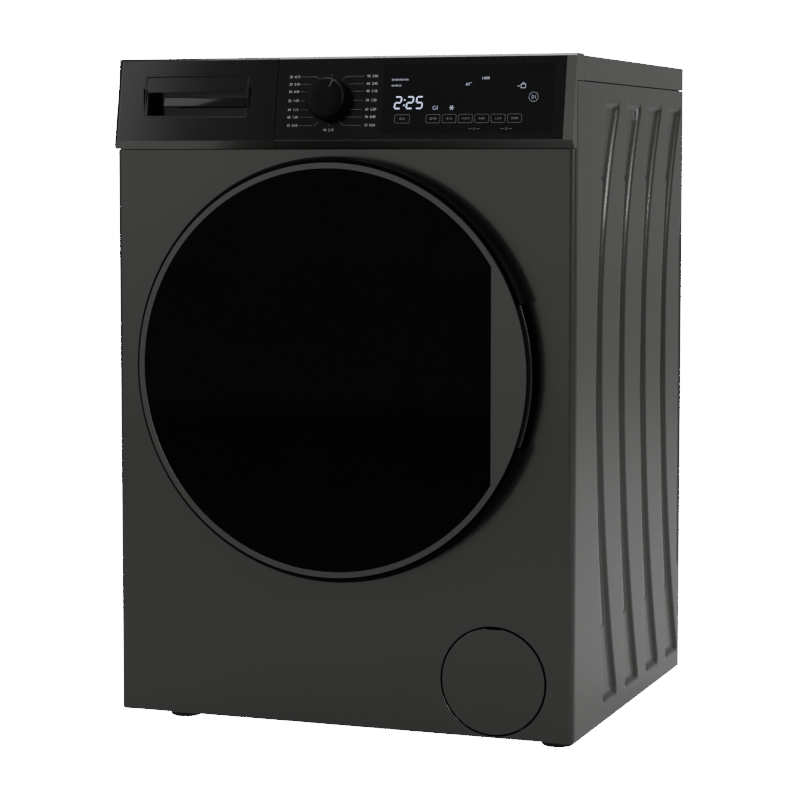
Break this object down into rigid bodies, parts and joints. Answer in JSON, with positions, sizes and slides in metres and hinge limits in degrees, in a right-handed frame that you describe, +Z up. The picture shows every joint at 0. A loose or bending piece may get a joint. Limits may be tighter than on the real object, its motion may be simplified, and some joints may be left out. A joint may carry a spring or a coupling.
{
  "type": "front load washing machine",
  "caption": "Free-standing front load washer with a large round door, dark silver cabinet, rotary programme knob, touch display and detergent drawer.",
  "frame": {"origin": "on the floor under the middle of the whole machine's box, door depth included", "axes": "+Z up, +X to the right as seen from the front, front of the machine towards -Y"},
  "size_m": [0.597, 0.564, 0.845],
  "materials": {
    "silver_paint": "satin dark silver paint",
    "black_gloss": "polished black",
    "black_matte": "fine matt black",
    "silver_plastic": "satin dark silver",
    "stainless": "brushed",
    "zinc": "zinc plated",
    "rubber_grey": "matt grey rubber",
    "belt_rubber": "matt black rubber",
    "bowl_glass": "clear moulded glass",
    "smoked_window": "smoked gloss",
    "tub_plastic": "grey moulded plastic",
    "white_plastic": "white moulded plastic",
    "concrete": "cast concrete",
    "steel": "bright machined steel"
  },
  "bodies": {
    "cabinet": {"side_panel_right": "silver_paint", "side_panel_left": "silver_paint", "front_panel": "silver_paint", "rear_panel": "zinc", "rear_cover": "zinc", "base_frame": "zinc", "worktop": "silver_plastic", "control_fascia": "silver_plastic", "fascia_face": "black_gloss", "display_window": "smoked_window", "control_board": "white_plastic", "selector_switch": "white_plastic", "dispenser_housing": "tub_plastic", "door_hinge": "zinc", "hinge_pin": "steel", "door_lock": "black_matte", "door_gasket": "rubber_grey", "damper_cylinder_right": "black_matte", "damper_cylinder_left": "black_matte", "suspension_spring_right": "steel", "suspension_spring_left": "steel", "inlet_valve": "white_plastic", "drain_outlet": "black_matte", "mains_gland": "black_matte", "drain_pump": "tub_plastic", "filter_frame": "black_matte"},
    "tub": {"tub_front": "tub_plastic", "tub_rear": "tub_plastic", "water_heater": "steel", "counterweight": "concrete", "bearing_front": "steel", "bearing_rear": "steel", "drive_motor": "black_matte", "drive_belt": "belt_rubber", "damper_rod_right": "steel", "damper_rod_left": "steel"},
    "drum": {"drum_shell": "stainless", "drum_spider": "zinc", "drum_pulley": "zinc", "drum_lifter_1": "tub_plastic", "drum_lifter_2": "tub_plastic", "drum_lifter_3": "tub_plastic"},
    "rotor": {"motor_rotor": "steel"},
    "door": {"door_rim": "silver_plastic", "door_panel": "black_gloss", "door_back_frame": "black_matte", "door_bowl": "bowl_glass", "hinge_leaf": "zinc"},
    "handle": {"handle_lever": "silver_plastic"},
    "hook": {"latch_hook": "white_plastic"},
    "drawer": {"drawer_front": "black_gloss", "drawer_tray": "white_plastic", "siphon_cap": "white_plastic"},
    "knob": {"program_knob": "black_matte"},
    "flap": {"filter_cover": "silver_plastic"},
    "drain_filter": {"filter_cap": "white_plastic"},
    "foot_fl": {"foot_front_left": "black_matte"},
    "foot_fr": {"foot_front_right": "black_matte"},
    "foot_rl": {"foot_rear_left": "black_matte"},
    "foot_rr": {"foot_rear_right": "black_matte"}
  },
  "joints": [
    {"name": "tub_float", "type": "slide", "parent": "cabinet", "child": "tub", "axis": [0, 0, 1], "range_m": [-0.008, 0.008], "stiffness_N_per_m": 20000, "springref_m": 0.01312, "deforming": ["suspension_spring_right", "suspension_spring_left", "door_gasket"]},
    {"name": "drum_spin", "type": "hinge", "parent": "tub", "child": "drum", "pos_m": [0, 0, 0.465], "axis": [0, 1, 0], "continuous": true},
    {"name": "rotor_spin", "type": "hinge", "parent": "tub", "child": "rotor", "pos_m": [-0.07, 0, 0.128], "axis": [0, 1, 0], "continuous": true},
    {"name": "door_swing", "type": "hinge", "parent": "cabinet", "child": "door", "pos_m": [-0.24, -0.267, 0.465], "axis": [0, 0, -1], "range_deg": [0, 135]},
    {"name": "handle_pull", "type": "hinge", "parent": "door", "child": "handle", "pos_m": [0.222, -0.2703, 0.465], "axis": [0, 0, -1], "range_deg": [0, 6], "stiffness_Nm_per_rad": 2},
    {"name": "hook_turn", "type": "hinge", "parent": "door", "child": "hook", "pos_m": [0.211, -0.263, 0.465], "axis": [0, 0, 1], "range_deg": [0, 15]},
    {"name": "drawer_slide", "type": "slide", "parent": "cabinet", "child": "drawer", "axis": [0, -1, 0], "range_m": [0, 0.2]},
    {"name": "knob_turn", "type": "hinge", "parent": "cabinet", "child": "knob", "pos_m": [-0.009, -0.24827, 0.791], "axis": [0, -0.9839, 0.1789], "continuous": true},
    {"name": "flap_tilt", "type": "hinge", "parent": "cabinet", "child": "flap", "pos_m": [0.199, -0.242, 0.037], "axis": [1, 0, 0], "range_deg": [0, 22]},
    {"name": "drain_filter_turn", "type": "hinge", "parent": "cabinet", "child": "drain_filter", "pos_m": [0.199, -0.225, 0.093], "axis": [0, 1, 0], "range_deg": [-90, 0]},
    {"name": "foot_fl_screw", "type": "slide", "parent": "cabinet", "child": "foot_fl", "axis": [0, 0, -1], "range_m": [0, 0.015]},
    {"name": "foot_fr_screw", "type": "slide", "parent": "cabinet", "child": "foot_fr", "axis": [0, 0, -1], "range_m": [0, 0.015]},
    {"name": "foot_rl_screw", "type": "slide", "parent": "cabinet", "child": "foot_rl", "axis": [0, 0, -1], "range_m": [0, 0.015]},
    {"name": "foot_rr_screw", "type": "slide", "parent": "cabinet", "child": "foot_rr", "axis": [0, 0, -1], "range_m": [0, 0.015]}
  ],
  "couplings": [
    {"joint": "rotor_spin", "follows": "drum_spin", "ratio": 12.727},
    {"joint": "hook_turn", "follows": "handle_pull", "ratio": 2.5}
  ]
}
